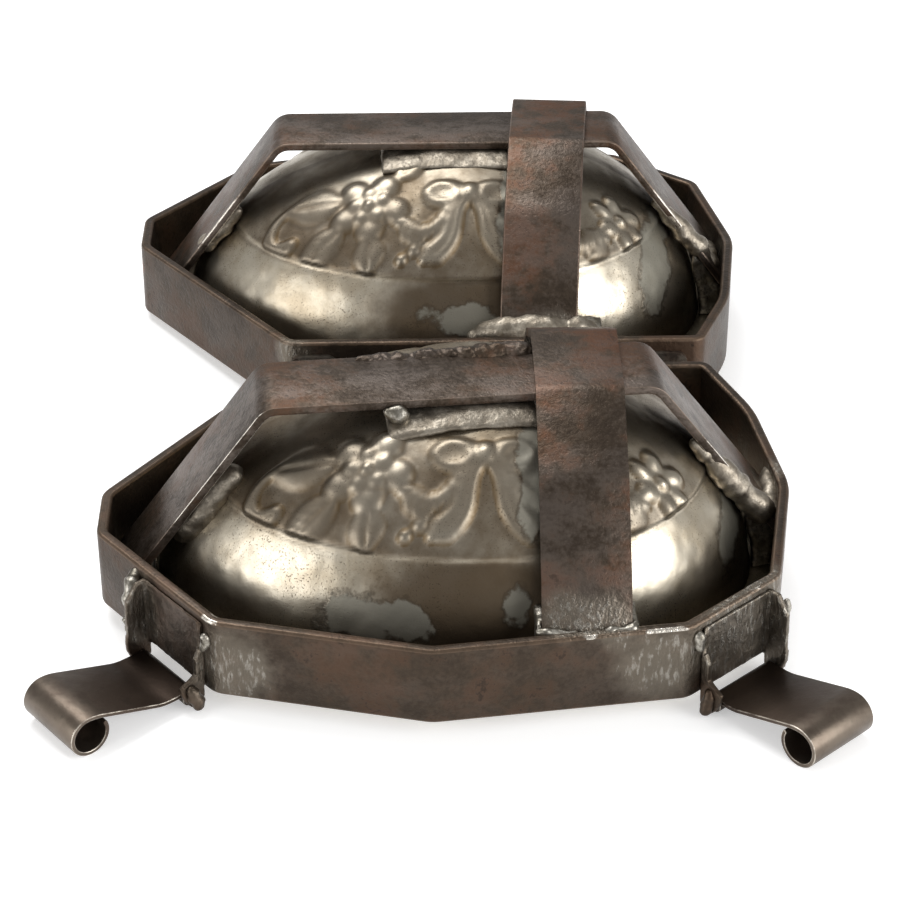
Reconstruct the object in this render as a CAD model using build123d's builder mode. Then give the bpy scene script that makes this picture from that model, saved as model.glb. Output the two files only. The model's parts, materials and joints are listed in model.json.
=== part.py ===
# Hinged two-part mould for a large hollow chocolate egg, lying open with its cavities down.
# The origin is the middle of the footprint on the table, and the hinge axis runs along X near it.
# The front half lies towards -Y and stands level on the tips of its clip brackets and on the hinge
# barrels. The rear half lies towards +Y and slopes down from the hinge until its far edge touches
# the table at Z = 0. Millimetres throughout.
import os
from math import asin, cos, degrees, hypot, radians, sin, sqrt

from build123d import *

os.makedirs("parts", exist_ok=True)

# Place of the hinge from the middle of the footprint
hinge_x = 5.09
hinge_y = 10.32

# Strip steel that the frames, straps and clips are cut from
strip_width = 30.0
frame_thick = 4.0
strap_thick = 3.0
clip_thick = 1.5
plate_thick = 2.0

# Frame outline of one half, outer face, as (x, distance from the hinge axis), and its bend radii
hinge_side = 7.5
left_end = -125.3
right_end = 119.0
far_side = 187.5
frame_corners = [
    (-63.0, hinge_side),
    (left_end, 92.0),
    (left_end, 117.0),
    (-83.0, 170.0),
    (-10.0, far_side),
    (76.0, 176.0),
    (109.0, 147.5),
    (right_end, 92.0),
    (112.0, 42.0),
    (98.0, hinge_side),
]
frame_bends = [8.0, 10.0, 9.0, 9.0, 14.0, 8.0, 9.0, 40.0, 60.0, 6.0]

# Egg shell, pressed from sheet: an egg profile revolved about its long axis
sheet_thick = 1.2
egg_across = 94.0
egg_middle = 8.0
egg_to_point = 115.0
egg_to_blunt = 97.0
egg_radius = 76.4
panel_height = 44.0
panel_step = 1.3

# Main forms of the pressed relief, on the side of each shell that faces -Y: place along the egg from
# its middle, distance down from the crown, half width and rise
relief_bosses = [
    (-38.0, 38.0, 12.0, 2.6),
    (-8.0, 37.0, 9.0, 2.4),
    (10.0, 37.0, 8.5, 2.4),
    (60.0, 32.0, 10.0, 2.4),
]

# Straps over the shell
long_strap_left_bend = -67.0
long_strap_right_bend = 68.0
long_strap_off_middle = -1.0
long_strap_left_foot = 8.0
long_strap_right_foot = 18.0
long_strap_bend = 9.0
cross_strap_middle = 41.5
cross_strap_off_middle = -0.5
cross_strap_flat_margin = 4.0
cross_strap_shoulder = 30.0
cross_strap_shoulder_drop = 17.0
cross_strap_foot_height = 27.0
cross_strap_knee_run = 9.0
cross_strap_knee_height = 15.0
cross_strap_knee_bend = 14.0
cross_strap_shoulder_bend = 30.0
cross_strap_flat_bend = 7.0
strap_overrun = 12.0

# Solder between the straps, the shell and the frame
crown_solder_gap = 0.9
crown_solder_depth = 2.4
crown_solder_left = -26.0
crown_solder_right = 26.0
crown_solder_overhang = 8.0
crown_solder_round = 50.0
solder_overhang = 2.0
end_solder_reach = 14.0
end_solder_overrun = 3.0
foot_solder_reach = 16.0
foot_solder_root = 3.0
foot_solder_depth = 15.0
foot_solder_tip_depth = 6.0
foot_solder_rise = 4.0
foot_solder_overrun = 6.0

# Main hinge: two units of three knuckles each
axis_height = 6.5
barrel_radius = axis_height
hinge_pin_radius = 2.5
leaf_width = 18.0
leaf_height = 25.0
leaf_corner = 4.0
hinge_places = {"left": -52.5, "right": 83.0}
pin_head_radius = 4.2
pin_head_length = 1.6
pin_head_round = 1.0

# Swing clips on the two front corners of the front half
clip_pin_radius = 1.5
clip_pin_out = 5.0
clip_pin_drop = 3.2
clip_pin_overrun = 0.8
clip_width = 29.0
clip_reaches = {"left": 45.0, "right": 42.5}
curl_radius = 7.5
curl_angle = 292.0
clip_slope = 18.0
clip_rise_bend = 20.0
clip_top_bend = 16.0
ear_height = 27.5
ear_top_out = 4.5
ear_shoulder_height = 21.0
ear_hip_height = 8.0
ear_out = 9.4
ear_low_out = 7.9
ear_foot = 2.0
web_thick = 1.0
bracket_edge = 1.5
left_clip_along = 46.2
right_clip_along = 22.1

# Clearances
rim_gap = 0.15
running_gap = 0.05
side_gap = 0.25
wall_gap = 0.4

# Values that follow
left_wall = left_end + frame_thick
right_wall = right_end - frame_thick
long_strap_across = egg_across + long_strap_off_middle
cross_strap_across = egg_across + cross_strap_off_middle
cross_strap_flat = strip_width + 2 * cross_strap_flat_margin
crown_height = egg_radius + panel_step
strap_under = crown_height + crown_solder_gap
strap_top = strap_under + strap_thick
rear_tilt = degrees(asin((axis_height + rim_gap) / far_side))
knuckle_length = (leaf_width - 2 * side_gap) / 3
left_slope = (strap_top - long_strap_left_foot) / (long_strap_left_bend - left_wall)
right_slope = (strap_top - long_strap_right_foot) / (right_wall - long_strap_right_bend)

# Where each half lies at rest: its own rim plane, and the way its Y axis points from the hinge
rim_plane = {
    "front": Plane(origin=(hinge_x, hinge_y, axis_height), x_dir=(1, 0, 0), z_dir=(0, 0, 1)),
    "rear": Plane(
        origin=(hinge_x, hinge_y, axis_height),
        x_dir=(1, 0, 0),
        z_dir=(0, sin(radians(rear_tilt)), cos(radians(rear_tilt))),
    ),
}
outward = {"front": -1, "rear": 1}
long_strap_turn = {"front": 5.0, "rear": 0.0}
cross_strap_turn = {"front": 0.0, "rear": 5.0}


def point(half, x, across, height):
    return rim_plane[half].from_local_coords((x, outward[half] * across, height))


def turned(half, angle):
    # The half's own X and Y directions, turned about the vertical
    base = rim_plane[half]
    turn = radians(angle)
    x_dir = base.x_dir * cos(turn) + base.y_dir * sin(turn)
    y_dir = base.y_dir * cos(turn) - base.x_dir * sin(turn)
    return x_dir, y_dir


def plane_along(half, x, across, angle=0.0):
    # Upright plane that runs along the egg
    x_dir, y_dir = turned(half, angle)
    return Plane(origin=point(half, x, across, 0), x_dir=x_dir, z_dir=y_dir * -1)


def plane_across(half, x, across, angle=0.0):
    # Upright plane that runs from the hinge to the far side
    x_dir, y_dir = turned(half, angle)
    return Plane(origin=point(half, x, across, 0), x_dir=y_dir, z_dir=x_dir)


def finish(piece, name):
    piece.part.label = name
    export_step(piece.part, f"parts/{name}.step")


def frame_face(half, height, inset=0.0):
    # Outline of the frame at a height, drawn in from its outer face
    corners = [(x, outward[half] * across) for x, across in frame_corners]
    with BuildSketch(rim_plane[half].offset(height)) as face:
        with BuildLine():
            FilletPolyline(*corners, radius=frame_bends, close=True)
        make_face()
        if inset > 0:
            offset(amount=-inset, mode=Mode.REPLACE)
    return face.sketch


def far_wall(x):
    # Distance from the hinge axis to the inner face of the far side, right of its bend
    (x1, a1), (x2, a2) = frame_corners[4], frame_corners[5]
    slope = (a2 - a1) / (x2 - x1)
    return a1 + (x - x1) * slope - frame_thick * hypot(1, slope)


def inner_block(half):
    # Everything within the frame's inner face, used to trim what is soldered to it
    with BuildPart() as block:
        add(frame_face(half, 0, frame_thick))
        extrude(amount=2 * strap_top, dir=rim_plane[half].z_dir)
    return block.part


def egg_block(half, grow, floor=0.0):
    # Solid half egg, grown by an amount, kept above a height
    centre = outward[half] * egg_across
    with BuildPart() as block:
        with BuildSketch(rim_plane[half]):
            with BuildLine():
                middle = (egg_middle, centre)
                EllipticalCenterArc(middle, egg_to_blunt + grow, egg_radius + grow, arc_size=90)
                EllipticalCenterArc(middle, egg_to_point + grow, egg_radius + grow, 90)
                Line(
                    (egg_middle - egg_to_point - grow, centre),
                    (egg_middle + egg_to_blunt + grow, centre),
                )
            make_face()
        revolve(axis=Axis(point(half, 0, egg_across, 0), rim_plane[half].x_dir), revolution_arc=180)
        if floor > 0:
            split(bisect_by=rim_plane[half].offset(floor), keep=Keep.TOP)
    return block.part


def boss_ball(half, boss, shrink=0.0):
    # Ball whose cap stands out of the raised panel of the shell
    along, down, half_width, rise = boss
    waist = egg_radius + panel_step
    to_end = (egg_to_point if along < 0 else egg_to_blunt) + panel_step
    girth = waist * sqrt(1 - (along / to_end) ** 2)
    lean = down / girth
    surface = Vector(
        egg_middle + along,
        outward[half] * egg_across - girth * sin(lean),
        girth * cos(lean),
    )
    normal = Vector(
        along / to_end**2,
        -girth * sin(lean) / waist**2,
        girth * cos(lean) / waist**2,
    ).normalized()
    radius = (half_width**2 + rise**2) / (2 * rise)
    with BuildPart() as ball:
        with Locations(rim_plane[half].from_local_coords(surface - normal * (radius - rise))):
            Sphere(radius - shrink)
    return ball.part


def make_shell(half):
    with BuildPart() as shell:
        add(frame_face(half, rim_gap, frame_thick))
        extrude(amount=sheet_thick, dir=rim_plane[half].z_dir)
        add(egg_block(half, 0, rim_gap))
        add(egg_block(half, panel_step, panel_height))
        for boss in relief_bosses:
            add(boss_ball(half, boss))
        add(egg_block(half, -sheet_thick), mode=Mode.SUBTRACT)
        add(egg_block(half, panel_step - sheet_thick, panel_height + sheet_thick), mode=Mode.SUBTRACT)
        for boss in relief_bosses:
            add(boss_ball(half, boss, sheet_thick), mode=Mode.SUBTRACT)
    return shell


def make_frame(half):
    with BuildPart() as frame:
        add(frame_face(half, rim_gap))
        extrude(amount=strip_width, dir=rim_plane[half].z_dir)
        add(inner_block(half), mode=Mode.SUBTRACT)
    return frame


def strap_solid(plane, path, bends):
    # Flat strip bent to a path, its outer face on the path
    with BuildPart() as strap:
        with BuildSketch(plane):
            with BuildLine():
                FilletPolyline(*path, radius=bends)
                offset(amount=strap_thick, side=Side.RIGHT)
            make_face()
        extrude(amount=strip_width / 2, both=True)
    return strap.part


def make_long_strap(half):
    path = [
        (left_wall - strap_overrun, long_strap_left_foot - strap_overrun * left_slope),
        (long_strap_left_bend, strap_top),
        (long_strap_right_bend, strap_top),
        (right_wall + strap_overrun, long_strap_right_foot - strap_overrun * right_slope),
    ]
    pivot = long_strap_right_bend
    plane = plane_along(half, pivot, long_strap_across, long_strap_turn[half])
    path = [(x - pivot, height) for x, height in path]
    with BuildPart() as strap:
        add(strap_solid(plane, path, long_strap_bend))
        add(inner_block(half), mode=Mode.INTERSECT)
        add(egg_block(half, panel_step), mode=Mode.SUBTRACT)
    return strap


def cross_strap_path(half):
    # From the hinge side to the far side, distances from the middle of the strap
    inner_near = hinge_side + frame_thick - cross_strap_across
    inner_far = far_wall(cross_strap_middle) - cross_strap_across
    top = strap_top + strap_thick
    flat = cross_strap_flat / 2
    shoulder = flat + cross_strap_shoulder
    foot = cross_strap_foot_height
    knee = foot + cross_strap_knee_height
    path = [
        (inner_near - cross_strap_knee_run, foot - cross_strap_knee_height),
        (inner_near + cross_strap_knee_run, knee),
        (-shoulder, top - cross_strap_shoulder_drop),
        (-flat, top),
        (flat, top),
        (shoulder, top - cross_strap_shoulder_drop),
        (inner_far - cross_strap_knee_run, knee),
        (inner_far + cross_strap_knee_run, foot - cross_strap_knee_height),
    ]
    if half == "front":
        path = [(-across, height) for across, height in reversed(path)]
    return path


def make_cross_strap(half, long_strap):
    plane = plane_across(half, cross_strap_middle, cross_strap_across, -cross_strap_turn[half])
    bends = [cross_strap_knee_bend, cross_strap_shoulder_bend, cross_strap_flat_bend]
    with BuildPart() as strap:
        add(strap_solid(plane, cross_strap_path(half), bends + bends[::-1]))
        add(inner_block(half), mode=Mode.INTERSECT)
        add(egg_block(half, panel_step), mode=Mode.SUBTRACT)
        add(long_strap.part, mode=Mode.SUBTRACT)
    return strap


def make_crown_solder(half, straps):
    # Layer of solder on the crown of the shell, under the long strap and thinning out beside it
    length = crown_solder_right - crown_solder_left
    middle = (crown_solder_right + crown_solder_left) / 2
    pivot = long_strap_right_bend
    turn = long_strap_turn[half]
    with BuildPart() as solder:
        with BuildSketch(plane_along(half, pivot, long_strap_across, turn)):
            with Locations((middle - pivot, crown_height)):
                Rectangle(length, crown_height)
        extrude(amount=strip_width / 2 + crown_solder_overhang, both=True)
        with BuildSketch(plane_across(half, pivot, long_strap_across, turn)):
            with Locations((0, crown_height + crown_solder_depth - crown_solder_round)):
                Circle(crown_solder_round)
        extrude(amount=egg_to_point, both=True, mode=Mode.INTERSECT)
        add(egg_block(half, panel_step + crown_solder_depth), mode=Mode.INTERSECT)
        add(egg_block(half, panel_step), mode=Mode.SUBTRACT)
        for boss in relief_bosses:
            add(boss_ball(half, boss), mode=Mode.SUBTRACT)
        for strap in straps:
            add(strap.part, mode=Mode.SUBTRACT)
    return solder


def make_end_solder(half, strap, left):
    # Solder wedge that fills the corner under a leg of the long strap
    wall = left_wall if left else right_wall
    foot = long_strap_left_foot if left else long_strap_right_foot
    slope = left_slope if left else right_slope
    inward = 1 if left else -1
    plane = plane_along(half, long_strap_right_bend, long_strap_across, long_strap_turn[half])
    floor = rim_gap + sheet_thick
    edge = wall - long_strap_right_bend - end_solder_overrun * inward
    reach = wall - long_strap_right_bend + end_solder_reach * inward
    with BuildPart() as solder:
        with BuildSketch(plane):
            with BuildLine():
                Polyline(
                    (edge, floor),
                    (reach, floor),
                    (reach, foot + end_solder_reach * slope),
                    (edge, foot - end_solder_overrun * slope),
                    close=True,
                )
            make_face()
        extrude(amount=strip_width / 2 - solder_overhang, both=True)
        add(inner_block(half), mode=Mode.INTERSECT)
        add(egg_block(half, panel_step), mode=Mode.SUBTRACT)
        add(strap.part, mode=Mode.SUBTRACT)
    return solder


def make_foot_solder(half, strap, far):
    # Solder under a foot of the cross strap, which ties it to the frame wall and the shell
    wall = far_wall(cross_strap_middle) if far else hinge_side + frame_thick
    flip = -outward[half] if far else outward[half]
    plane = plane_across(half, cross_strap_middle, wall, -cross_strap_turn[half])
    slope = cross_strap_knee_height / cross_strap_knee_run
    foot = cross_strap_foot_height
    back = foot_solder_overrun
    outline = [
        (-back, foot - foot_solder_depth),
        (foot_solder_root, foot - foot_solder_depth),
        (foot_solder_reach, foot - foot_solder_tip_depth),
        (foot_solder_reach, foot + foot_solder_rise),
        (foot_solder_rise / slope, foot + foot_solder_rise),
        (-back, foot - back * slope),
    ]
    with BuildPart() as solder:
        with BuildSketch(plane):
            with BuildLine():
                Polyline(*[(across * flip, height) for across, height in outline], close=True)
            make_face()
        extrude(amount=strip_width / 2 + solder_overhang, both=True)
        add(inner_block(half), mode=Mode.INTERSECT)
        add(egg_block(half, 0), mode=Mode.SUBTRACT)
        add(strap.part, mode=Mode.SUBTRACT)
    return solder


def make_leaf(half, middle_x):
    # Hinge leaf soldered to the frame wall: the rear leaf has the two outer knuckles
    step = knuckle_length + side_gap
    own = [0.0] if half == "front" else [-step, step]
    other = [-step, step] if half == "front" else [0.0]
    side = outward[half]
    plane = plane_across(half, middle_x, 0)
    with BuildPart() as leaf:
        with BuildSketch(plane):
            with Locations((side * (hinge_side - plate_thick / 2), rim_gap + leaf_height / 2)):
                Rectangle(plate_thick, leaf_height)
        extrude(amount=leaf_width / 2, both=True)
        across_edges = leaf.edges().filter_by(Axis(plane.origin, rim_plane[half].y_dir))
        fillet(across_edges.group_by(Axis.Z)[-1], leaf_corner)
        for place in other:
            with BuildSketch(plane.offset(place)):
                Circle(barrel_radius + wall_gap)
            extrude(amount=knuckle_length / 2 + side_gap, both=True, mode=Mode.SUBTRACT)
        for place in own:
            with BuildSketch(plane.offset(place)):
                Circle(barrel_radius)
                with Locations((side * hinge_side / 2, rim_gap + barrel_radius / 2)):
                    Rectangle(hinge_side, barrel_radius)
            extrude(amount=knuckle_length / 2, both=True)
        with BuildSketch(plane):
            Circle(hinge_pin_radius + (running_gap if half == "front" else 0))
        extrude(amount=leaf_width, both=True, mode=Mode.SUBTRACT)
    return leaf


def make_hinge_pin(middle_x):
    plane = plane_across("rear", middle_x, 0)
    with BuildPart() as pin:
        with BuildSketch(plane):
            Circle(hinge_pin_radius)
        extrude(amount=leaf_width / 2, both=True)
        for end in (-1, 1):
            with BuildSketch(plane.offset(end * leaf_width / 2)):
                Circle(pin_head_radius)
            extrude(amount=end * pin_head_length)
        rims = pin.edges().filter_by(GeomType.CIRCLE).group_by(Axis.X)
        fillet(rims[0] + rims[-1], pin_head_round)
    return pin


def corner_place(first, second, distance):
    # Place on a straight of the front frame, and the way it faces
    (x1, a1), (x2, a2) = frame_corners[first], frame_corners[second]
    length = hypot(x2 - x1, a2 - a1)
    run = Vector((x2 - x1) / length, -(a2 - a1) / length, 0)
    out = Vector(run.Y, -run.X, 0)
    if out.Y > 0:
        out = out * -1
    origin = Vector(hinge_x + x1, hinge_y - a1, axis_height) + run * distance
    return Plane(origin=origin, x_dir=out, z_dir=out.cross(Vector(0, 0, 1)))


clip_places = {
    "left": corner_place(2, 3, left_clip_along),
    "right": corner_place(5, 6, right_clip_along),
}
ear_middle = clip_width / 2 + wall_gap + plate_thick / 2
bracket_half = ear_middle + plate_thick / 2


def make_bracket(plane):
    # Channel with its thin web soldered to the frame and two ears that carry the clip pin
    shoulder = (ear_out, ear_shoulder_height)
    hip = (ear_out, ear_hip_height)
    foot = (clip_pin_out, -axis_height)
    with BuildPart() as bracket:
        with BuildSketch(plane):
            with Locations((web_thick / 2, (bracket_edge + ear_height) / 2)):
                Rectangle(web_thick, ear_height - bracket_edge)
        extrude(amount=bracket_half, both=True)
        for side in (-1, 1):
            with BuildSketch(plane.offset(side * ear_middle)):
                with BuildLine():
                    Polyline((0, bracket_edge), (0, ear_height), (ear_top_out, ear_height), shoulder, hip)
                    ThreePointArc(hip, (ear_low_out, -clip_pin_drop), foot)
                    Polyline(
                        foot,
                        (clip_pin_out - ear_foot, -axis_height),
                        (wall_gap, -clip_pin_drop),
                        (wall_gap, bracket_edge),
                        (0, bracket_edge),
                    )
                make_face()
                with Locations((clip_pin_out, -clip_pin_drop)):
                    Circle(clip_pin_radius, mode=Mode.SUBTRACT)
            extrude(amount=plate_thick / 2, both=True)
    return bracket


def make_clip_pin(plane):
    with BuildPart() as pin:
        with BuildSketch(plane):
            with Locations((clip_pin_out, -clip_pin_drop)):
                Circle(clip_pin_radius)
        extrude(amount=bracket_half + clip_pin_overrun, both=True)
    return pin


def make_clip(plane, reach):
    # Strip rolled round its pin, bent up to a hump and rolled under into a finger curl
    half_thick = clip_thick / 2
    root = clip_pin_radius + running_gap + half_thick
    curl = curl_radius - half_thick
    start_height = root - clip_pin_drop
    top_height = 2 * curl_radius - axis_height - half_thick
    slope = radians(clip_slope)
    bend_rise = (clip_rise_bend + clip_top_bend) * (1 - cos(slope))
    straight = (top_height - start_height - bend_rise) / sin(slope)
    run = (clip_rise_bend + clip_top_bend) * sin(slope) + straight * cos(slope)
    lead = reach - clip_pin_out - run
    with BuildPart() as clip:
        with BuildSketch(plane):
            with BuildLine() as centre_line:
                first = Line((clip_pin_out, start_height), (clip_pin_out + lead, start_height))
                rise = JernArc(first @ 1, first % 1, clip_rise_bend, clip_slope)
                ramp = Line(rise @ 1, (rise @ 1) + (rise % 1) * straight)
                top = JernArc(ramp @ 1, ramp % 1, clip_top_bend, -clip_slope)
                JernArc(top @ 1, top % 1, curl, -curl_angle)
                offset(amount=half_thick, kind=Kind.TANGENT)
            make_face()
            with Locations((clip_pin_out, -clip_pin_drop)):
                Circle(root + half_thick)
                Circle(root - half_thick, mode=Mode.SUBTRACT)
        extrude(amount=clip_width / 2, both=True)
    return clip


for half in ("front", "rear"):
    long_strap = make_long_strap(half)
    cross_strap = make_cross_strap(half, long_strap)
    finish(make_shell(half), f"{half}_shell")
    finish(make_frame(half), f"{half}_frame")
    finish(long_strap, f"{half}_long_strap")
    finish(cross_strap, f"{half}_cross_strap")
    finish(make_crown_solder(half, (long_strap, cross_strap)), f"{half}_crown_solder")
    finish(make_end_solder(half, long_strap, True), f"{half}_left_end_solder")
    finish(make_end_solder(half, long_strap, False), f"{half}_right_end_solder")
    finish(make_foot_solder(half, cross_strap, True), f"{half}_far_foot_solder")
    finish(make_foot_solder(half, cross_strap, False), f"{half}_hinge_foot_solder")
    for side, middle_x in hinge_places.items():
        finish(make_leaf(half, middle_x), f"{half}_{side}_hinge_leaf")

for side, middle_x in hinge_places.items():
    finish(make_hinge_pin(middle_x), f"{side}_hinge_pin")

for side, plane in clip_places.items():
    finish(make_bracket(plane), f"{side}_clip_bracket")
    finish(make_clip_pin(plane), f"{side}_clip_pin")
    finish(make_clip(plane, clip_reaches[side]), f"{side}_clip")
    pin_place = plane.from_local_coords((clip_pin_out, -clip_pin_drop, 0))
    print(side, "clip pin at", tuple(pin_place), "along", tuple(plane.z_dir), "faces", tuple(plane.x_dir))

print("rear tilt", round(rear_tilt, 3), "strap top", round(strap_top, 2))
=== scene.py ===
# Two-part egg mould lying open: tinned half-egg shells in braced strip-steel frames. Metres.
import json
from math import asin, atan, cos, radians, sin

import bpy
import numpy as np
from mathutils import Matrix, Vector


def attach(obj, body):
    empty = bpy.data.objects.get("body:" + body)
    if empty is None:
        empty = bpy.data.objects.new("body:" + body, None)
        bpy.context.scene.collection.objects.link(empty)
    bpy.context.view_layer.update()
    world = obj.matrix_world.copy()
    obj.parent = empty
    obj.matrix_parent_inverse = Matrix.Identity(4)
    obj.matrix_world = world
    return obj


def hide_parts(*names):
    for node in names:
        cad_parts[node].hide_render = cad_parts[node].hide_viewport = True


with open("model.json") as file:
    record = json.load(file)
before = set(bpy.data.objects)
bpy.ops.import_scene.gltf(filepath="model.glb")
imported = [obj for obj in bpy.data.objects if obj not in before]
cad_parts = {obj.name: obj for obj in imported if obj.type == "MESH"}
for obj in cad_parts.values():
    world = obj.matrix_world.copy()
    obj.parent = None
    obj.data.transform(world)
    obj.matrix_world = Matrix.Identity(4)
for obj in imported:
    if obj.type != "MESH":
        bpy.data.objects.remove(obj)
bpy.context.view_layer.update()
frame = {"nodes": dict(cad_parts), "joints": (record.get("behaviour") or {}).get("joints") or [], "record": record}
nodes = frame["nodes"]
mm = 0.001
white = (1.0, 1.0, 1.0, 1.0)
black = (0.0, 0.0, 0.0, 1.0)


def jointOf(name):
    return next(joint for joint in frame["joints"] if joint["name"] == name)


# The halves lie rim down: the rear one drops by so many millimetres over its reach from the hinge
hinge = Vector(jointOf("main_hinge")["pos_m"])
halves = {
    "front": {"drop": 0.0, "reach": 187.5, "outward": -1},
    "rear": {"drop": 6.65, "reach": 187.5, "outward": 1},
}
for half in halves.values():
    tilt = asin(half["drop"] / half["reach"])
    half["place"] = Matrix.Translation(hinge) @ Matrix.Rotation(-tilt, 4, "X")


def spot(half, x, y, z):
    # a place given in millimetres on a half's own rim plane, from the hinge
    return halves[half]["place"] @ Vector((x * mm, y * mm, z * mm))


def tone(red, green, blue):
    # a colour as seen on screen, 0 to 255, to the linear values that shaders take
    linear = [((c / 255 + 0.055) / 1.055) ** 2.4 if c > 10 else c / 3294 for c in (red, green, blue)]
    return (*linear, 1.0)


class Wire:
    # one output socket, so that shader maths reads as maths
    def __init__(self, shader, socket):
        self.shader = shader
        self.socket = socket

    def maths(self, operation, *values):
        return self.shader.node("ShaderNodeMath", {"operation": operation}, dict(enumerate(values)))

    def __add__(self, other):
        return self.maths("ADD", self, other)

    def __radd__(self, other):
        return self.maths("ADD", other, self)

    def __sub__(self, other):
        return self.maths("SUBTRACT", self, other)

    def __rsub__(self, other):
        return self.maths("SUBTRACT", other, self)

    def __mul__(self, other):
        return self.maths("MULTIPLY", self, other)

    def __rmul__(self, other):
        return self.maths("MULTIPLY", other, self)

    def between(self, low, high):
        # 0 below low, 1 above high, soft in between
        limits = {"Value": self, "From Min": low, "From Max": high}
        return self.shader.node("ShaderNodeMapRange", {"interpolation_type": "SMOOTHSTEP"}, limits)

    def clipped(self):
        return self.shader.node("ShaderNodeClamp", {}, {"Value": self})


class Shader:
    # a material and its nodes, with all nodes made by one method
    def __init__(self, name):
        self.material = bpy.data.materials.new(name)
        self.material.use_nodes = True
        self.tree = self.material.node_tree
        self.surface = self.tree.nodes["Principled BSDF"]
        self.place = self.node("ShaderNodeTexCoord", output="Object")

    def node(self, kind, settings={}, sockets={}, output=0):
        made = self.tree.nodes.new(kind)
        for key, value in settings.items():
            setattr(made, key, value)
        for key, value in sockets.items():
            self.feed(made.inputs[key], value)
        return Wire(self, made.outputs[output])

    def feed(self, socket, value):
        if isinstance(value, Wire):
            self.tree.links.new(value.socket, socket)
        else:
            socket.default_value = value

    def noise(self, size, detail=3.0, rough=0.55, place=None):
        # cloudy pattern of 0 to 1, with patches of about that size in metres
        sockets = {"Vector": place or self.place, "Scale": 1 / size, "Detail": detail, "Roughness": rough}
        return self.node("ShaderNodeTexNoise", {}, sockets)

    def stretched(self, scale):
        return self.node("ShaderNodeMapping", {}, {"Vector": self.place, "Scale": scale})

    def near(self, places, radius):
        # 1 round any of the places, fading to 0 at the radius
        mask = 0.0
        for place in places:
            ends = {0: self.place, 1: place}
            gap = self.node("ShaderNodeVectorMath", {"operation": "DISTANCE"}, ends, "Value")
            mask = mask + (1 - gap.between(radius * 0.2, radius))
        return mask.clipped()

    def mix(self, factor, first, second):
        sockets = {0: factor, 6: first, 7: second}
        return self.node("ShaderNodeMix", {"data_type": "RGBA"}, sockets, 2)

    def attribute(self, name):
        return self.node("ShaderNodeAttribute", {"attribute_name": name}, {}, "Fac")

    def bump(self, height, relief):
        strength, distance = relief
        sockets = {"Height": height, "Strength": strength, "Distance": distance}
        return self.node("ShaderNodeBump", {}, sockets)

    def finish(self, **sockets):
        for name, value in sockets.items():
            self.feed(self.surface.inputs[name.replace("_", " ")], value)
        return self.material


# Strip steel of the frames, straps and brackets: grey-brown with russet patches and a violet-grey bloom,
# films and streaks of solder at set places, edges brown on the frames and lighter on the straps, near white at set
# places: worn bare and painted highlights
stripSteel = {
    "dark": tone(56, 47, 39),
    "brown": tone(80, 68, 56),
    "russet": tone(92, 63, 46),
    "bloom": tone(118, 108, 101),
    "spots": tone(44, 37, 31),
    "film": tone(112, 105, 94),
    "solder": tone(156, 152, 144),
    "bright": tone(200, 194, 184),
    "rust": tone(132, 82, 52),
    "patchSize": 0.040,
    "mottleSize": 0.008,
    "grainSize": 0.0015,
    "metallic": 0.85,
    "roughness": 0.44,
    "relief": (0.5, 0.0012),
    "frame": {
        "russet": 0.45, "bloom": 0.14, "soot": 0.3, "edge": tone(104, 87, 72), "edgeCover": 0.55,
        # spots where the edge is worn bare and painted bright as a highlight
        "bare_and_painted_glint": (0.009, [
            spot("front", -84, -168, 30), spot("front", 72, -178, 30), spot("front", 98, -152, 30),
            spot("front", 64, -179, 30), spot("front", 42, -178, 30),
        ]),
    },
    "longStrap": {
        "russet": 0.62, "bloom": 0.62, "soot": 0.05, "edge": tone(124, 110, 98), "edgeCover": 0.6,
        "bare_and_painted_glint": (0.036, [
            spot("front", -90, -122, 46), spot("front", -74, -121, 70), spot("front", 92, -107, 48),
            spot("rear", 92, 78, 48), spot("rear", -92, 78, 48),
        ]),
    },
    "crossStrap": {
        "russet": 0.9, "bloom": 0.38, "soot": 0.0, "edge": tone(118, 100, 88), "edgeCover": 0.6,
        "bare_and_painted_glint": (0.036, [spot("front", 57, -150, 62), spot("front", 57, -168, 44)]),
    },
    "bracket": {
        "russet": 0.3, "bloom": 0.3, "soot": 0.1, "edge": tone(108, 92, 80), "edgeCover": 0.5,
        "bare_and_painted_glint": (0.006, [spot("front", -110, -140, 26), spot("front", 109, -150, 24)]),
    },
    "smears": {
        "wall": (0.026, [
            spot("front", -78, -174, 12), spot("front", 98, -156, 14), spot("front", 66, -182, 16),
        ]),
        "feet": (0.014, [spot("front", 34, -173, 33), spot("front", 48, -174, 33)]),
        "ends": (0.014, [
            spot("rear", 110, 93, 24), spot("rear", 40, 14, 30), spot("front", 112, -82, 26),
        ]),
        "back": (0.013, [
            spot("rear", -61, 8, 25), spot("front", -110, -142, 22), spot("front", -109, -143, 10),
        ]),
        "rightWeb": (0.02, [
            spot("front", 88, -168, 22), spot("front", 94, -164, 14), spot("front", 98, -160, 20),
            spot("front", 104, -153, 24), spot("front", 106, -152, 12),
        ]),
    },
    "rustSpots": (0.009, [spot("rear", -125, 96, 20)]),
}


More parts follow.
